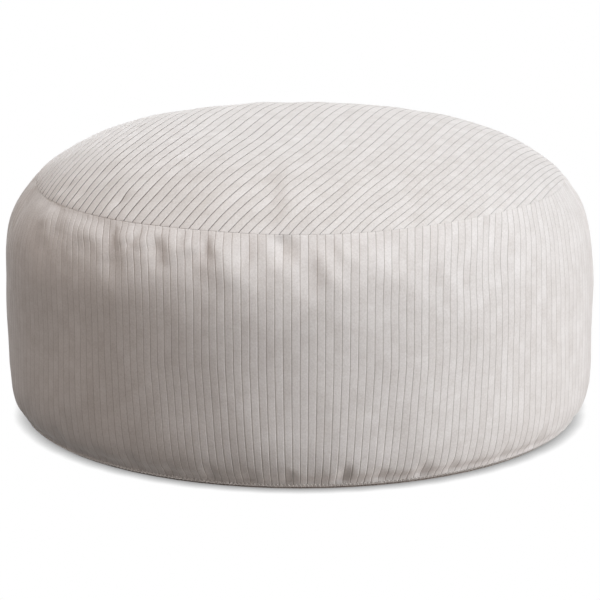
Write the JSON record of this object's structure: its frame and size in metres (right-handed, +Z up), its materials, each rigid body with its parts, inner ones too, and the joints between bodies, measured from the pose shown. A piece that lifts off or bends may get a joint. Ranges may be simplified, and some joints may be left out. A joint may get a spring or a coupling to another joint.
{
  "type": "bean bag",
  "caption": "Round low floor pouf in wide-wale corduroy: crowned top panel, upright-ribbed side band drawn in at both seams, flat base.",
  "frame": {"origin": "centre of the bounding box, on the floor under the base panel", "axes": "+Z up through the crown; -Y is the front, the side that the picture shows; +X to the right seen from the front"},
  "size_m": [0.7002, 0.7, 0.3438],
  "materials": {
    "corduroy_top": "pale warm grey cotton corduroy, wide wale, matt pile",
    "corduroy_band": "pale warm grey cotton corduroy, wide wale, matt pile",
    "corduroy_base": "warm grey plain-woven cotton, matt"
  },
  "bodies": {
    "root": {"top_panel": "corduroy_top", "side_band": "corduroy_band", "base_panel": "corduroy_base"}
  },
  "joints": []
}
